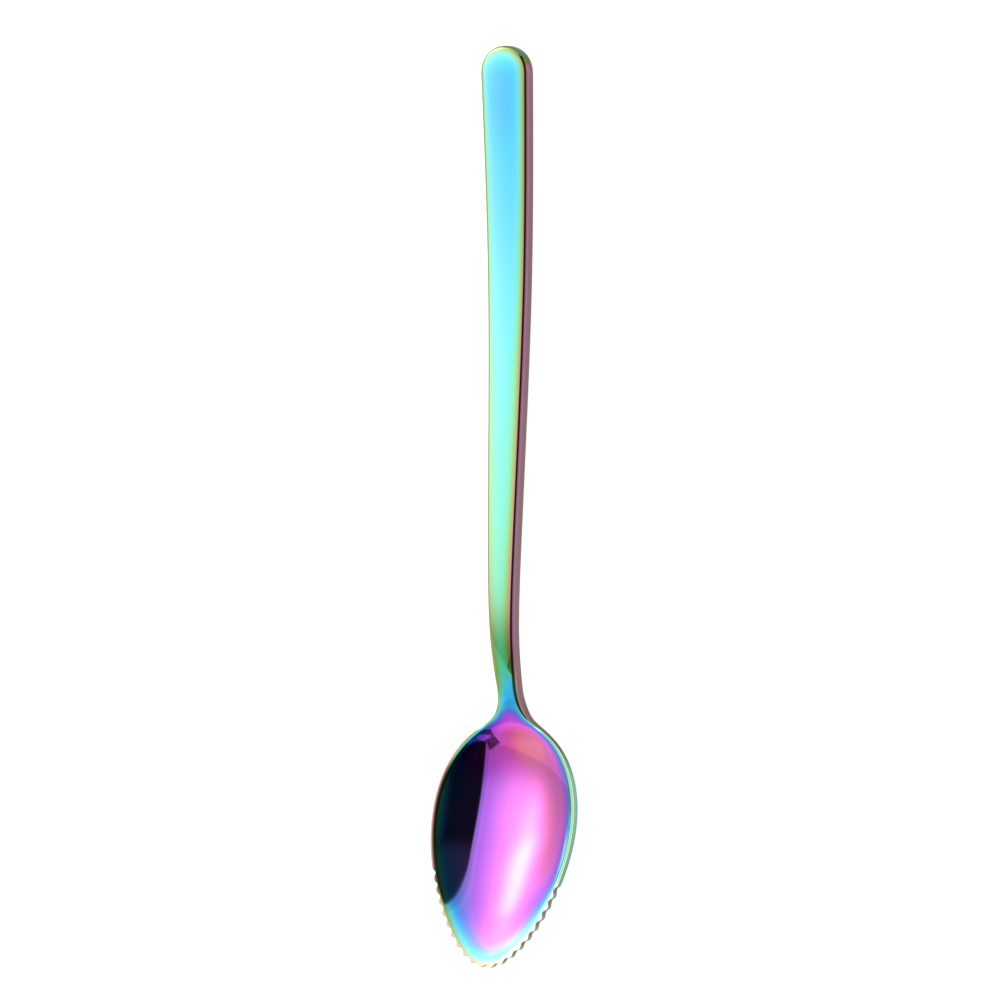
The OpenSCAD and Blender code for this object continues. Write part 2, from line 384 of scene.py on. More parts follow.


# Film: its thickness goes from 0 where it is thickest to 1 where it is thinnest. Its
# colour has two tones, depth and gain: how deep and how light it is, where 1 is plain.
# Besides the film's own colour, the tones hold painted light and shade: painted
# reflections, painted dim bands and painted glints.

# Film on the middle line and on the handle's edges, by place along the spoon
MIDDLE_FILM_SHARES = [
    (0.00, 0.20), (0.17, 0.22), (0.247, 0.215), (0.258, 0.20), (0.270, 0.295), (0.281, 0.525),
    (0.292, 0.57), (0.303, 0.63), (0.320, 0.66), (0.337, 0.68), (0.371, 0.705), (0.416, 0.68),
    (0.506, 0.67), (0.618, 0.655), (0.730, 0.630), (0.843, 0.600), (0.944, 0.550), (1.00, 0.575),
]
LEFT_FILM_SHARES = [
    (0.00, 0.70), (0.281, 0.70), (0.310, 0.78), (0.371, 0.79), (0.416, 0.76), (0.506, 0.755),
    (0.618, 0.73), (0.730, 0.72), (1.00, 0.72),
]
RIGHT_FILM_SHARES = [
    (0.00, 0.59), (0.303, 0.59), (0.337, 0.84), (0.371, 0.87), (0.506, 0.845), (1.00, 0.835),
]

# A rise is where a soft step starts and how far it runs. A bell or a shelf is its middle
# and its width. Along is from the bowl's tip, across from the middle line, in from the
# outline, and lean from -1 on the left to 1 on the right.
ROSE = 0.20
ROSE_RISE_ALONG = (7.5 * MM, 12 * MM)
ROSE_BELL_ACROSS = (12.4 * MM, 8.7 * MM)
SALMON = 0.28
SALMON_BELL_ACROSS = (3.5 * MM, 4.6 * MM)
SALMON_BELL_ALONG = (43.2 * MM, 3.9 * MM)
VIOLET = 0.15
VIOLET_SHELF_ACROSS = (-10.1 * MM, 6.1 * MM)
VIOLET_RISE_ALONG = (34 * MM, 8 * MM)
RIM_FILM = 1.04
RIM_START = 0.2 * MM
RIM_FADE = 2.45 * MM
RIM_FADE_LEAN = 0.13 * MM
RIM_FADE_BOW = 0.42 * MM
BACK_FADE = 1.8 * MM
BACK_FADE_RISE_ALONG = (34 * MM, 9 * MM)
LEFT_RIM_MOST = 0.92
RIGHT_RIM_MOST = 0.755
EDGE_FADE = 0.8 * MM
END_FADE = 1.1 * MM
END_FADE_RISE_ALONG = (150 * MM, 20 * MM)


def on_curve(curve, value):
    """A smooth value between the points of a curve."""
    for (a, low), (b, high) in zip(curve, curve[1:]):
        if value <= b:
            part = (value - a) / (b - a)
            return mix(low, high, part * part * (3 - 2 * part))
    return curve[-1][1]


def rise(value, start, run):
    """A soft step from 0 at the start to 1 past the run. A run below zero goes backwards."""
    return ease((value - start) / run)


def bell(value, middle, width):
    """A soft bell round a middle value."""
    return math.exp(-((value - middle) / width) ** 2)


def shelf(value, middle, width):
    """1 up to the middle value, and a soft fall past it."""
    return bell(max(value, middle), middle, width)


def fading(inside, width):
    """1 at an edge, and less the further in."""
    return math.exp(-max(inside, 0) / width)


def to_right(form, at, x):
    """0 at the spoon's left edge and 1 at its right edge."""
    half_w = form.half_w(min(at, form.end_at))
    return ease((x / half_w + 1) / 2) if half_w else 0.5


def bowl_film(form, at, x, lean, inside):
    """Film in the bowl, which thins towards the rim."""
    middle = on_curve(MIDDLE_FILM_SHARES, at / form.s.spoon_l)
    rose = ROSE * rise(at, *ROSE_RISE_ALONG) * bell(x, *ROSE_BELL_ACROSS)
    salmon = SALMON * bell(x, *SALMON_BELL_ACROSS) * bell(at, *SALMON_BELL_ALONG)
    violet = VIOLET * shelf(x, *VIOLET_SHELF_ACROSS) * (1 - rise(at, *VIOLET_RISE_ALONG))
    front_fade = RIM_FADE + RIM_FADE_LEAN * lean - RIM_FADE_BOW * lean * lean
    fade = mix(front_fade, BACK_FADE, rise(at, *BACK_FADE_RISE_ALONG))
    film = mix(middle - rose - salmon + violet, RIM_FILM, fading(inside + RIM_START, fade))
    return min(max(film, 0.0), mix(LEFT_RIM_MOST, RIGHT_RIM_MOST, ease((lean + 1) / 2)))


def stem_film(form, at, x, inside):
    """Film on the neck and the handle, which thins towards the edges."""
    part = at / form.s.spoon_l
    right = to_right(form, at, x)
    edge = mix(on_curve(LEFT_FILM_SHARES, part), on_curve(RIGHT_FILM_SHARES, part), right)
    right_fade = mix(EDGE_FADE, END_FADE, rise(at, *END_FADE_RISE_ALONG))
    thin = fading(inside - form.s.handle_edge_r, mix(EDGE_FADE, right_fade, right))
    return mix(on_curve(MIDDLE_FILM_SHARES, part), edge, thin)


# Tones of the neck and the handle: deeper on the right and on the neck. The neck is
# also painted lighter, a painted reflection, with a painted reflection line that crosses
# the neck and painted shade past it, a painted darker corner beside it and a painted
# dim root
RIGHT_DEPTH = 0.40
RIGHT_DEPTH_EDGE = 0.25
RIGHT_DEPTH_FADE = 1.5 * MM
RIGHT_GAIN_SHARE = 0.4
NECK_SHELF_ALONG = (61 * MM, 5 * MM)
NECK_EDGE = 0.4
NECK_RISE_IN = (0, 1.6 * MM)
NECK_DEPTH = 0.8
NECK_DEPTH_LOSS = 0.65
NECK_LOSS_RISE_ALONG = (54 * MM, -8 * MM)
NECK_GAIN = 0.38
CROSS_SLOPE = 1.73
CROSS_BOW = 1.4 / MM
CROSS_BOW_START = 1 * MM
CROSS_RISE_ALONG = (59 * MM, 0.4 * MM)
PAINTED_CROSS_SHADE = 0.24
CROSS_SHELF_ALONG = (60 * MM, 7 * MM)
PAINTED_CORNER_SHADE = 0.4
CORNER_SLOPE = 2.3
CORNER_START = 58 * MM
CORNER_RISE_ACROSS = (0.7 * MM, 0.4 * MM)
CORNER_END_RISE_ALONG = (62.5 * MM, 1 * MM)
PAINTED_ROOT_SHADE = 0.2
ROOT_SLOPE = 0.507
ROOT_RISE_ALONG = (56.8 * MM, -0.3 * MM)
ROOT_START_RISE_ALONG = (48 * MM, 6 * MM)


def stem_tone(form, at, x, inside):
    """Depth and gain of the neck and the handle, with the neck's painted light and shade."""
    edge = RIGHT_DEPTH_EDGE * fading(inside - form.s.handle_edge_r, RIGHT_DEPTH_FADE)
    side = to_right(form, at, x) * (RIGHT_DEPTH - edge)
    # The neck's gain paints it lighter: painted light from a reflection.
    neck = shelf(at, *NECK_SHELF_ALONG) * mix(NECK_EDGE, 1, rise(inside, *NECK_RISE_IN))
    neck_depth = neck * (1 - NECK_DEPTH_LOSS * rise(at, *NECK_LOSS_RISE_ALONG))
    # Painted reflections: a line across the neck with painted shade past it, a painted dark corner beside
    # it, and a painted dim root on the bowl's side of a slanted edge.
    bow = CROSS_BOW * max(-x - CROSS_BOW_START, 0) ** 2
    crossed = rise(at + CROSS_SLOPE * x - bow, *CROSS_RISE_ALONG)
    corner = (rise(x - (at - CORNER_START) / CORNER_SLOPE, *CORNER_RISE_ACROSS)
              * (1 - rise(at, *CORNER_END_RISE_ALONG)))
    shade = crossed * (PAINTED_CROSS_SHADE * shelf(at, *CROSS_SHELF_ALONG) + PAINTED_CORNER_SHADE * corner)
    root = rise(at + ROOT_SLOPE * x, *ROOT_RISE_ALONG) * rise(at, *ROOT_START_RISE_ALONG)
    gain = 1 + RIGHT_GAIN_SHARE * side + NECK_GAIN * neck
    return 1 + side + NECK_DEPTH * neck_depth, gain * (1 - shade) * (1 - PAINTED_ROOT_SHADE * root)


# Tones of the bowl: a painted dim band of shade inside each side's rim, a pale shore
# along the rim elsewhere, a deeper back, a deeper front on the left, and a painted
# glint, a painted highlight, on each side of the neck's root
LEFT_RIM_RISE_LEAN = (-0.45, -0.35)
LEFT_RIM_RISE_ALONG = (10 * MM, 6 * MM)
LEFT_DIM = 0.9
LEFT_DIM_BACK = 0.4
LEFT_DIM_RISE_ALONG = (36 * MM, 5 * MM)
LEFT_DIM_RISE_IN = (0.8 * MM, 0.4 * MM)
RIGHT_RIM_RISE_LEAN = (0.6, 0.3)
RIGHT_RIM_RISE_ALONG = (13 * MM, 6 * MM)
RIGHT_DIM = 0.42
RIGHT_DIM_RISE_IN = (0.9 * MM, 0.9 * MM)
DIM_RISE_IN = (0.2 * MM, 0.3 * MM)
LIP_BELL_IN = (0, 0.36 * MM)
LIP_DEPTH_LOSS = 0.6
LIP_GAIN_LOSS = 0.15
SHORE_BELL_IN = (0, 0.9 * MM)
SHORE_PALE_LEFT = 0.25
SHORE_PALE_RIGHT = 0.65
SHORE_DIM = 0.2
SHORE_DIM_RISE_LEAN = (0, -1)
BACK_RISE_ALONG = (33 * MM, 7 * MM)
BACK_DEPTH = 0.36
BACK_DEPTH_RISE_ACROSS = (5 * MM, -8 * MM)
BACK_GAIN_SHARE = 0.1
BACK_DIM = 0.1
BACK_DIM_RISE_ACROSS = (0, 5 * MM)
FRONT_RISE_ALONG = (0, 14 * MM)
FRONT_RISE_LEAN = (0, -0.5)
FRONT_BELL_IN = (2 * MM, 1.5 * MM)
FRONT_DEPTH = 0.6
FRONT_GAIN_SHARE = 0.2
GLINT_BELL_ALONG = (45.7 * MM, 0.5 * MM)
GLINT_BELL_IN = (0.4 * MM, 0.28 * MM)
GLINT_DEPTH_LOSS = 0.7


def bowl_tone(at, x, lean, inside):
    """Depth and gain of the film in the bowl, with its painted dim bands and glints."""
    # Painted shade: dim bands inside the left and right rims.
    left_rim = rise(lean, *LEFT_RIM_RISE_LEAN) * rise(at, *LEFT_RIM_RISE_ALONG)
    left_dim = (mix(LEFT_DIM, LEFT_DIM_BACK, rise(at, *LEFT_DIM_RISE_ALONG))
                * (1 - rise(inside, *LEFT_DIM_RISE_IN)))
    right_rim = rise(lean, *RIGHT_RIM_RISE_LEAN) * rise(at, *RIGHT_RIM_RISE_ALONG)
    right_dim = RIGHT_DIM * (1 - rise(inside, *RIGHT_DIM_RISE_IN))
    lip = right_rim * bell(inside, *LIP_BELL_IN)
    shore = bell(inside, *SHORE_BELL_IN)
    shore_pale = mix(SHORE_PALE_LEFT, SHORE_PALE_RIGHT, ease((lean + 1) / 2))
    pale = shore_pale * shore * (1 - left_rim) * (1 - right_rim)
    behind = rise(at, *BACK_RISE_ALONG) * (1 - shore)
    back = BACK_DEPTH * behind * rise(x, *BACK_DEPTH_RISE_ACROSS)
    front_left = rise(at, *FRONT_RISE_ALONG) * rise(lean, *FRONT_RISE_LEAN)
    front = FRONT_DEPTH * front_left * bell(inside, *FRONT_BELL_IN)
    # Painted highlight: a glint on each side of the neck's root.
    glint = bell(at, *GLINT_BELL_ALONG) * bell(inside, *GLINT_BELL_IN)
    dim = rise(inside, *DIM_RISE_IN) * (left_rim * left_dim + right_rim * right_dim)
    dim += BACK_DIM * behind * rise(x, *BACK_DIM_RISE_ACROSS)
    dim += SHORE_DIM * shore * rise(lean, *SHORE_DIM_RISE_LEAN) * (1 - left_rim)
    depth = (1 - pale + back + front) * (1 - GLINT_DEPTH_LOSS * glint) * (1 - LIP_DEPTH_LOSS * lip)
    gain = 1 - dim + BACK_GAIN_SHARE * back + FRONT_GAIN_SHARE * front
    return depth, gain + glint - LIP_GAIN_LOSS * lip


def face_coat(form, at, x, lean, inside):
    """Film, depth and gain on the face or the back."""
    bowl = bowl_film(form, at, x, lean, inside), *bowl_tone(at, x, lean, inside)
    stem = stem_film(form, at, x, inside), *stem_tone(form, at, x, inside)
    return [mix(a, b, form.handle_part(at)) for a, b in zip(bowl, stem)]


# The side wall: its left is plain, and its right has painted shade beside the neck's
# root and painted light along the bowl's front half, and is greener and darker round
# the handle's end
RIM_WALL_FILM = 0.69
GULLET_FILM = 0.93
LEFT_WALL_FILM = 0.82
RIGHT_WALL_TOP_FILM = 0.93
RIGHT_WALL_FOOT_FILM = 1.0
WALL_DIM = 0.75
WALL_DIM_BELL_ALONG = (43.5 * MM, 4.5 * MM)
WALL_LIGHT = 0.4
WALL_LIGHT_BELL_ALONG = (30 * MM, 9 * MM)
END_WALL_PACE = 1.2
END_WALL_FILM = 0.69
END_WALL_DEPTH = 0.8
END_WALL_DIM = 0.45


def wall_coat(form, at, side, cut, down):
    """Film, depth and gain on the side wall, where down goes from 0 at its top to 1 at
    its foot."""
    bowl = mix(RIM_WALL_FILM, GULLET_FILM, ease(cut / form.s.tooth_depth))
    if side < 0:
        return mix(bowl, LEFT_WALL_FILM, form.handle_part(at)), 1.0, 1.0
    end = ease(END_WALL_PACE * (at - form.end_at) / form.s.end_l)
    stem = mix(mix(RIGHT_WALL_TOP_FILM, RIGHT_WALL_FOOT_FILM, down), END_WALL_FILM, end)
    # Painted shade beside the neck's root and painted light along the bowl's front half.
    dim = WALL_DIM * bell(at, *WALL_DIM_BELL_ALONG)
    light = WALL_LIGHT * (1 - down) * bell(at, *WALL_LIGHT_BELL_ALONG)
    return (mix(bowl, stem, form.handle_part(at)), 1 + END_WALL_DEPTH * end,
            (1 - dim + light) * (1 - END_WALL_DIM * end))


# Attributes of the skin
COAT_LAYERS = ("film", "depth", "gain")
# Corners closer than this are merged
WELD_GAP = 0.0002 * MM


def wrap_skin(mesh, form):
    """Wraps a flat grid round the metal, and closes its seam and its ends."""
    s = form.s
    rungs = rungs_of(form)
    form.lift = -min(form.back_z(0, rung[0]) for rung in rungs)
    around = 4 * (s.face_steps + BAND_STEPS + s.round_steps) + 2 * WALL_STEPS
    bm = bmesh.new()
    layers = [bm.verts.layers.float.new(name) for name in COAT_LAYERS]
    bmesh.ops.create_grid(bm, x_segments=around, y_segments=len(rungs) - 1, size=0.5)
    rows = {}
    for vert in bm.verts:
        row = round((vert.co.y + 0.5) * (len(rungs) - 1))
        rows.setdefault(row, []).append(vert)
    for row, verts in rows.items():
        right = half_rung(form, rungs[row], 1)
        left = half_rung(form, rungs[row], -1)
        ring = [(-x, *rest) for x, *rest in left[::-1]] + right[1:]
        spread = 0 if row == len(rungs) - 1 else 1
        for vert in verts:
            x, y, z, *coat = ring[round((vert.co.x + 0.5) * around)]
            vert.co = (x * spread, y - s.spoon_l / 2, z)
            for layer, value in zip(layers, coat):
                vert[layer] = value
    bmesh.ops.remove_doubles(bm, verts=bm.verts, dist=WELD_GAP)
    bmesh.ops.recalc_face_normals(bm, faces=bm.faces)
    for face in bm.faces:
        face.smooth = True
    bm.to_mesh(mesh)
    open_edges = sum(len(edge.link_faces) != 2 for edge in bm.edges)
    bm.free()
    if open_edges:
        raise RuntimeError(f"the skin has {open_edges} open edges")


# Finish

# Places of the film's colours, from its thickest to its thinnest
FILM_ORDER_SHARES = {
    "salmon": 0.00, "rose": 0.10, "magenta": 0.20, "violet": 0.32, "azure": 0.43,
    "sky": 0.51, "cyan": 0.58, "aqua": 0.64, "mint": 0.70, "lime": 0.76,
    "straw": 0.82, "blush": 0.87, "mauve": 0.93, "taupe": 1.00,
}
CLOUD_DETAIL = 2.0
# The film's thickness sways softly over the metal
FILM_SWAY = 0.02
FILM_CLOUDS_PER_M = 55.0
# Polishing leaves faint lines along the spoon, and clouds
POLISH_LINES_PER_M = (6000, 250, 6000)
POLISH_LINE_DETAIL = 3.0
POLISH_CLOUDS_PER_M = 160.0
POLISH_LEAST = 0.6
POLISH_MARKS = 1.6
POLISH_RELIEF = 0.01
POLISH_RELIEF_H = 0.01 * MM


def link(tree, output, target):
    """Joins a socket to another, or sets a plain value on it."""
    if isinstance(output, bpy.types.NodeSocket):
        tree.links.new(output, target)
    else:
        target.default_value = output


def calc(tree, operation, *values):
    """A math node's result."""
    node = tree.nodes.new("ShaderNodeMath")
    node.operation = operation
    for value, socket in zip(values, node.inputs):
        link(tree, value, socket)
    return node.outputs[0]


def total(tree, first, *others):
    """The sum of all the values."""
    for value in others:
        first = calc(tree, "ADD", first, value)
    return first


def product(tree, first, *others):
    """All the values multiplied."""
    for value in others:
        first = calc(tree, "MULTIPLY", first, value)
    return first


def step_between(tree, value, low, high):
    """A soft step from 0 to 1 as the value goes from low to high."""
    node = tree.nodes.new("ShaderNodeMapRange")
    node.interpolation_type = "SMOOTHSTEP"
    link(tree, value, node.inputs["Value"])
    node.inputs["From Min"].default_value = low
    node.inputs["From Max"].default_value = high
    return node.outputs["Result"]


def noise(tree, scale, detail, vector):
    """A noise texture's value."""
    node = tree.nodes.new("ShaderNodeTexNoise")
    node.inputs["Scale"].default_value = scale
    node.inputs["Detail"].default_value = detail
    tree.links.new(vector, node.inputs["Vector"])
    return node.outputs["Fac"]


def new_group(name, inputs, outputs):
    """An empty node group with its sockets, its first node and its last."""
    group = bpy.data.node_groups.new(name, "ShaderNodeTree")
    for socket in inputs:
        group.interface.new_socket(socket, in_out="INPUT", socket_type="NodeSocketFloat")
    for socket, kind in outputs.items():
        group.interface.new_socket(socket, in_out="OUTPUT", socket_type=kind)
    return group, group.nodes.new("NodeGroupInput"), group.nodes.new("NodeGroupOutput")


def film_group(film):
    """A node group that turns the film's thickness and its tones, painted light and shade among them, into
    colour.
    """
    group, inside, outside = new_group("Film Colour", ("Film", "Sway", "Depth", "Gain"),
                                       {"Colour": "NodeSocketColor"})
    where = group.nodes.new("ShaderNodeTexCoord")
    cloud = noise(group, FILM_CLOUDS_PER_M, CLOUD_DETAIL, where.outputs["Object"])
    sway = product(group, calc(group, "SUBTRACT", cloud, 0.5), inside.outputs["Sway"])
    ramp = group.nodes.new("ShaderNodeValToRGB")
    stops = ramp.color_ramp.elements
    stops.remove(stops[-1])
    for name, place in FILM_ORDER_SHARES.items():
        stop = stops.new(place) if place else stops[0]
        stop.color = (*getattr(film, name), 1.0)
    group.links.new(total(group, inside.outputs["Film"], sway), ramp.inputs["Fac"])
    deepen = group.nodes.new("ShaderNodeGamma")
    group.links.new(ramp.outputs["Color"], deepen.inputs["Color"])
    group.links.new(inside.outputs["Depth"], deepen.inputs["Gamma"])
    lighten = group.nodes.new("ShaderNodeHueSaturation")
    group.links.new(deepen.outputs["Color"], lighten.inputs["Color"])
    group.links.new(inside.outputs["Gain"], lighten.inputs["Value"])
    group.links.new(lighten.outputs["Color"], outside.inputs["Colour"])
    return group


def polish_group():
    """A node group for the faint lines and clouds that polishing leaves."""
    group, inside, outside = new_group("Polish", ("Roughness",),
                                       {"Roughness": "NodeSocketFloat", "Height": "NodeSocketFloat"})
    where = group.nodes.new("ShaderNodeTexCoord")
    stretch = group.nodes.new("ShaderNodeMapping")
    stretch.inputs["Scale"].default_value = POLISH_LINES_PER_M
    group.links.new(where.outputs["Object"], stretch.inputs["Vector"])
    lines = noise(group, 1.0, POLISH_LINE_DETAIL, stretch.outputs["Vector"])
    cloud = noise(group, POLISH_CLOUDS_PER_M, CLOUD_DETAIL, where.outputs["Object"])
    marks = total(group, product(group, lines, cloud, POLISH_MARKS), POLISH_LEAST)
    group.links.new(product(group, marks, inside.outputs["Roughness"]), outside.inputs["Roughness"])
    group.links.new(lines, outside.inputs["Height"])
    return group


def rainbow_steel(film):
    """Mirror-polished steel whose colour follows the film's thickness and its tones, painted light and
    shade among them.
    """
    material = bpy.data.materials.new("rainbow_steel")
    material.use_nodes = True
    tree = material.node_tree
    shader = tree.nodes["Principled BSDF"]
    shader.inputs["Metallic"].default_value = 1.0
    colours = tree.nodes.new("ShaderNodeGroup")
    colours.node_tree = film_group(film)
    colours.inputs["Sway"].default_value = FILM_SWAY
    polish = tree.nodes.new("ShaderNodeGroup")
    polish.node_tree = polish_group()
    polish.inputs["Roughness"].default_value = film.roughness
    relief = tree.nodes.new("ShaderNodeBump")
    relief.inputs["Strength"].default_value = POLISH_RELIEF
    relief.inputs["Distance"].default_value = POLISH_RELIEF_H
    for layer in COAT_LAYERS:
        attribute = tree.nodes.new("ShaderNodeAttribute")
        attribute.attribute_name = layer
        tree.links.new(attribute.outputs["Fac"], colours.inputs[layer.title()])
    tree.links.new(colours.outputs["Colour"], shader.inputs["Base Color"])
    tree.links.new(polish.outputs["Roughness"], shader.inputs["Roughness"])
    tree.links.new(polish.outputs["Height"], relief.inputs["Height"])
    tree.links.new(relief.outputs["Normal"], shader.inputs["Normal"])
    return material


class SPOON_OT_forge(bpy.types.Operator):
    """Forges the spoon and coats it with its rainbow film"""
    bl_idname = "spoon.forge"
    bl_label = "Forge Spoon"

    def execute(self, context):
        mesh = bpy.data.meshes.new("spoon")
        wrap_skin(mesh, Form(context.scene.spoon_sizes))
        spoon = bpy.data.objects.new("spoon", mesh)
        context.scene.collection.objects.link(spoon)
        mesh.materials.append(rainbow_steel(context.scene.spoon_film))
        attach(spoon, "root")
        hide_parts("bowl", "neck", "handle")
        return {"FINISHED"}


# Stage

FLOOR_ROUGHNESS = 0.9
# Light at the floor's far left, which only the metal's mirror shows
GLOW = 1.1
GLOW_STEP_ACROSS = (-30 * MM, -200 * MM)


def lay_floor(studio):
    """A pale floor that is lifted to white towards the camera and keeps its shadow."""
    mesh = bpy.data.meshes.new("floor")
    bm = bmesh.new()
    bmesh.ops.create_grid(bm, x_segments=1, y_segments=1, size=studio.floor_size / 2)
    bm.to_mesh(mesh)
    bm.free()
    floor = bpy.data.objects.new("floor", mesh)
    bpy.context.scene.collection.objects.link(floor)
    material = bpy.data.materials.new("floor")
    material.use_nodes = True
    tree = material.node_tree
    shader = tree.nodes["Principled BSDF"]
    shader.inputs["Base Color"].default_value = (*[studio.floor_grey] * 3, 1)
    shader.inputs["Roughness"].default_value = FLOOR_ROUGHNESS
    shader.inputs["Specular IOR Level"].default_value = 0.0
    shader.inputs["Emission Color"].default_value = (1, 1, 1, 1)
    path = tree.nodes.new("ShaderNodeLightPath")
    where = tree.nodes.new("ShaderNodeTexCoord")
    place = tree.nodes.new("ShaderNodeSeparateXYZ")
    tree.links.new(where.outputs["Object"], place.inputs[0])
    far_left = step_between(tree, place.outputs["X"], *GLOW_STEP_ACROSS)
    glow = total(tree, product(tree, far_left, GLOW), studio.mirrored_lift)
    mirrored = product(tree, path.outputs["Is Glossy Ray"], glow)
    lift = total(tree, product(tree, path.outputs["Is Camera Ray"], studio.floor_lift), mirrored)
    tree.links.new(lift, shader.inputs["Emission Strength"])
    mesh.materials.append(material)


# The tent's places are directions on a disc, as (across, along), with straight up at its
# middle. A line is its three parts (a, b, c) in a + b * across + c * along. A step is
# where it starts and where it ends, and a hem is its middle, its width and its strength.
# The margin keeps the place straight below from a division by zero.
DISC_MARGIN = 0.001
CLOTH_LINE = (0.29, -0.18, 0.39)
CLOTH_LEAST = 0.12
# Soft lights: strength, place across and along, width and height, and turn in degrees
SOFT_LIGHTS = {
    "window": (2.0, -0.415, 0.276, 0.158, 0.050, 16),
    "curtain": (1.15, -0.446, 0.194, 0.112, 0.182, -20),
    "left wall": (1.24, -0.352, 0.177, 0.366, 0.279, -13),
    "ceiling": (2.96, -0.918, 0.521, 0.807, 0.137, 0),
    "front wall": (0.53, -0.549, -0.347, 0.479, 0.201, -4),
}
# Walls that are lighter past a line: the line, the step over it, and the strength
LIT_WALLS = {
    "low front": ((0.332, 0.288, 1.0), (0.008, -0.008), 0.16),
    "right": ((0.0, 1.0, 0.0), (0.50, 0.62), 0.33),
    "far front": ((0.0, -0.35, 1.0), (-0.45, -0.75), 0.5),
}
# The far left corner is held back, so that the handle keeps its colour from the side
CORNER_STEP_ALONG = (0.36, 0.56)
CORNER_STEP_ACROSS = (-0.15, -0.50)
MOST_LIGHT = 6.0
CORNER_MOST_LIGHT = 2.0
MOST_LIGHT_BEND = 1.0

# The dark opening on the right: its left side, its top, its end and where it stops
OPENING_LEFT = 0.048
OPENING_LEFT_BEND = 0.3
OPENING_LEFT_MIDDLE = 0.25
OPENING_TOP_LINE = (0.279, 0.72, -1.0)
OPENING_TOP_BEND = 0.03
OPENING_END_LINE = (0.325, -0.2, 1.0)
OPENING_END_CURVE = 2.8
OPENING_END_RIGHT = 0.21
OPENING_END_MARGIN = 0.02
OPENING_END_BEND = 0.07
OPENING_STEP = (-0.006, 0.008)
OPENING_END_STEP = (-0.025, 0.015)
OPENING_STOP_ACROSS = (0.62, 0.50)
OPENING_STOP_ALONG = (-0.40, -0.32)
BRIGHT_HEM = (-0.035, 0.010, 0.12)
DARK_HEM = (-0.016, 0.012, -0.14)
# The faint gleam inside the opening grows towards its top and its right
GLEAM_STEP = (0.22, 0.30)
GLEAM = 0.036
GLEAM_LEAST = 0.012

# Dark folds of cloth beside the opening, in a box with its own two lines
FOLDS_DOWN_LINE = (0.0, -0.6, 0.8)
FOLDS_TOP_STEP = (-0.255, -0.238)
FOLDS_FOOT_STEP = (-0.145, -0.162)
FOLDS_SLANT_LINE = (-0.12, 1.16, 0.12)
FOLDS_LEFT_STEP = (-0.352, -0.338)
FOLDS_RIGHT_STEP = (-0.20, -0.22)
FOLDS_WAVE_LINE = (0.0, 299.0, -61.0)
FOLDS_SHADE = 0.80
FOLDS_RIPPLE = 0.12


def hump(tree, value, middle, width):
    """A soft hump round a middle value."""
    off = calc(tree, "DIVIDE", calc(tree, "SUBTRACT", value, middle), width)
    return calc(tree, "EXPONENT", product(tree, off, off, -1.0))


def along_line(tree, sky, line):
    """The sum a + b * across + c * along."""
    a, b, c = line
    across, along = sky
    return total(tree, product(tree, across, b), product(tree, along, c), a)


def sky_places(tree):
    """The direction that is seen, as its place across and along the disc."""
    where = tree.nodes.new("ShaderNodeTexCoord")
    axes = tree.nodes.new("ShaderNodeSeparateXYZ")
    tree.links.new(where.outputs["Generated"], axes.inputs[0])
    up = total(tree, axes.outputs["Z"], 1 + DISC_MARGIN)
    return calc(tree, "DIVIDE", axes.outputs["X"], up), calc(tree, "DIVIDE", axes.outputs["Y"], up)


def cloth_light(tree, sky):
    """Light of the tent's cloth, its window and its walls."""
    across, along = sky
    light = calc(tree, "MAXIMUM", along_line(tree, sky, CLOTH_LINE), CLOTH_LEAST)
    for strength, x, y, wide, high, turn in SOFT_LIGHTS.values():
        c, d = math.cos(math.radians(turn)), math.sin(math.radians(turn))
        first = hump(tree, along_line(tree, sky, (-x * c - y * d, c, d)), 0, wide)
        second = hump(tree, along_line(tree, sky, (x * d - y * c, -d, c)), 0, high)
        light = total(tree, light, product(tree, first, second, strength))
    for line, step, strength in LIT_WALLS.values():
        lit = step_between(tree, along_line(tree, sky, line), *step)
        light = total(tree, light, product(tree, lit, strength))
    corner = product(tree, step_between(tree, along, *CORNER_STEP_ALONG),
                     step_between(tree, across, *CORNER_STEP_ACROSS))
    most = total(tree, product(tree, corner, CORNER_MOST_LIGHT - MOST_LIGHT), MOST_LIGHT)
    return calc(tree, "SMOOTH_MIN", light, most, MOST_LIGHT_BEND)


def opening_of(tree, sky):
    """How far a place lies inside the dark opening's side, and how dark it is there."""
    across, along = sky
    off = total(tree, along, -OPENING_LEFT_MIDDLE)
    left = total(tree, across, product(tree, off, off, OPENING_LEFT_BEND), -OPENING_LEFT)
    top = along_line(tree, sky, OPENING_TOP_LINE)
    near = calc(tree, "SMOOTH_MIN", left, top, OPENING_TOP_BEND)
    curve = product(tree, across, across, -OPENING_END_CURVE)
    end = calc(tree, "MAXIMUM", total(tree, along_line(tree, sky, OPENING_END_LINE), curve),
               total(tree, across, -OPENING_END_RIGHT))
    near = calc(tree, "SMOOTH_MIN", near, total(tree, end, OPENING_END_MARGIN), OPENING_END_BEND)
    dark = product(tree, step_between(tree, near, *OPENING_STEP),
                   step_between(tree, end, *OPENING_END_STEP),
                   step_between(tree, across, *OPENING_STOP_ACROSS),
                   step_between(tree, along, *OPENING_STOP_ALONG))
    return near, dark


def hem_light(tree, near):
    """Light of the hems round the opening, as a share of the cloth's."""
    hems = [product(tree, hump(tree, near, middle, width), strength)
            for middle, width, strength in (BRIGHT_HEM, DARK_HEM)]
    return total(tree, *hems, 1.0)


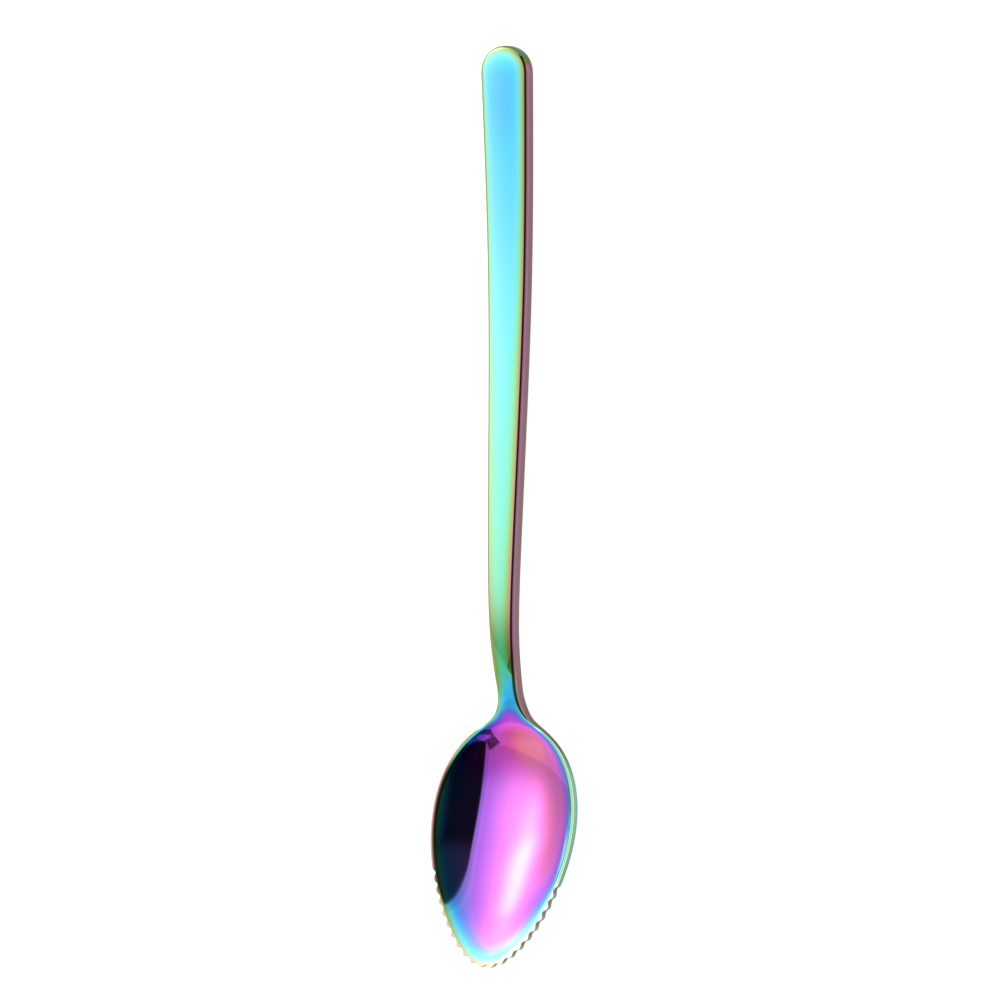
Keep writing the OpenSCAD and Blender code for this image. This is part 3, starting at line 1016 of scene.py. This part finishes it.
def fold_light(tree, sky):
    """Light of the folds beside the opening, as a share of the cloth's."""
    down = along_line(tree, sky, FOLDS_DOWN_LINE)
    slant = along_line(tree, sky, FOLDS_SLANT_LINE)
    inside = product(tree, step_between(tree, down, *FOLDS_TOP_STEP),
                     step_between(tree, down, *FOLDS_FOOT_STEP),
                     step_between(tree, slant, *FOLDS_LEFT_STEP),
                     step_between(tree, slant, *FOLDS_RIGHT_STEP))
    wave = calc(tree, "SINE", along_line(tree, sky, FOLDS_WAVE_LINE))
    shade = total(tree, product(tree, wave, -FOLDS_RIPPLE), FOLDS_SHADE)
    return calc(tree, "SUBTRACT", 1.0, product(tree, inside, shade))


def light_world():
    """A tent of white cloth with a window on its left and a dark opening on its right.
    The camera itself sees plain white."""
    world = bpy.data.worlds.new("tent")
    bpy.context.scene.world = world
    world.use_nodes = True
    tree = world.node_tree
    background = tree.nodes["Background"]
    sky = sky_places(tree)
    across, along = sky
    near, dark = opening_of(tree, sky)
    cloth = product(tree, cloth_light(tree, sky), hem_light(tree, near), fold_light(tree, sky))
    gleam = calc(tree, "MAXIMUM", step_between(tree, along, *GLEAM_STEP),
                 step_between(tree, across, *GLEAM_STEP))
    gleam = total(tree, product(tree, gleam, GLEAM), GLEAM_LEAST)
    light = total(tree, product(tree, cloth, calc(tree, "SUBTRACT", 1.0, dark)),
                  product(tree, gleam, dark))
    path = tree.nodes.new("ShaderNodeLightPath")
    seen = path.outputs["Is Camera Ray"]
    hidden = product(tree, light, calc(tree, "SUBTRACT", 1.0, seen))
    tree.links.new(total(tree, hidden, seen), background.inputs["Strength"])
    background.inputs["Color"].default_value = (1, 1, 1, 1)


# How far the camera sees, in metres
CAMERA_REACH = 20


def place_camera(studio):
    """The camera looks down on the bowl from its right."""
    back = Vector((math.sin(studio.roll) * math.cos(studio.pitch), -math.sin(studio.pitch),
                   math.cos(studio.roll) * math.cos(studio.pitch)))
    ahead = Vector((0, 1, 0))
    up = (ahead - back * ahead.dot(back)).normalized()
    right = up.cross(back)
    turned_right = right * math.cos(studio.spin) + up * math.sin(studio.spin)
    turned_up = up * math.cos(studio.spin) - right * math.sin(studio.spin)
    data = bpy.data.cameras.new("camera")
    data.lens = studio.lens
    data.clip_end = CAMERA_REACH
    camera = bpy.data.objects.new("camera", data)
    place = back * studio.distance + turned_right * studio.aim_x + turned_up * studio.aim_y
    turn = Matrix((turned_right, turned_up, back)).transposed()
    camera.matrix_world = Matrix.Translation(place) @ turn.to_4x4()
    bpy.context.scene.collection.objects.link(camera)
    bpy.context.scene.camera = camera


class SPOON_OT_stage(bpy.types.Operator):
    """Sets the floor, the soft light and the camera"""
    bl_idname = "spoon.stage"
    bl_label = "Set Stage"

    def execute(self, context):
        studio = context.scene.spoon_studio
        lay_floor(studio)
        light_world()
        place_camera(studio)
        context.scene.view_settings.view_transform = "Standard"
        return {"FINISHED"}


class SPOON_PT_spoon(bpy.types.Panel):
    """Lists the spoon's operators and sizes"""
    bl_idname = "SPOON_PT_spoon"
    bl_label = "Grapefruit Spoon"
    bl_space_type = "VIEW_3D"
    bl_region_type = "UI"
    bl_category = "Spoon"

    def draw(self, context):
        column = self.layout.column()
        column.operator("spoon.forge")
        column.operator("spoon.stage")
        for group in (context.scene.spoon_sizes, context.scene.spoon_film, context.scene.spoon_studio):
            for name in group.__annotations__:
                column.prop(group, name)


CLASSES = (SpoonSizes, SpoonFilm, SpoonStudio, SPOON_OT_forge, SPOON_OT_stage, SPOON_PT_spoon)


def register():
    for cls in CLASSES:
        bpy.utils.register_class(cls)
    bpy.types.Scene.spoon_sizes = PointerProperty(type=SpoonSizes)
    bpy.types.Scene.spoon_film = PointerProperty(type=SpoonFilm)
    bpy.types.Scene.spoon_studio = PointerProperty(type=SpoonStudio)


def unregister():
    del bpy.types.Scene.spoon_studio
    del bpy.types.Scene.spoon_film
    del bpy.types.Scene.spoon_sizes
    for cls in reversed(CLASSES):
        bpy.utils.unregister_class(cls)


def main():
    register()
    bpy.ops.spoon.forge()
    bpy.ops.spoon.stage()


if __name__ == "__main__":
    main()
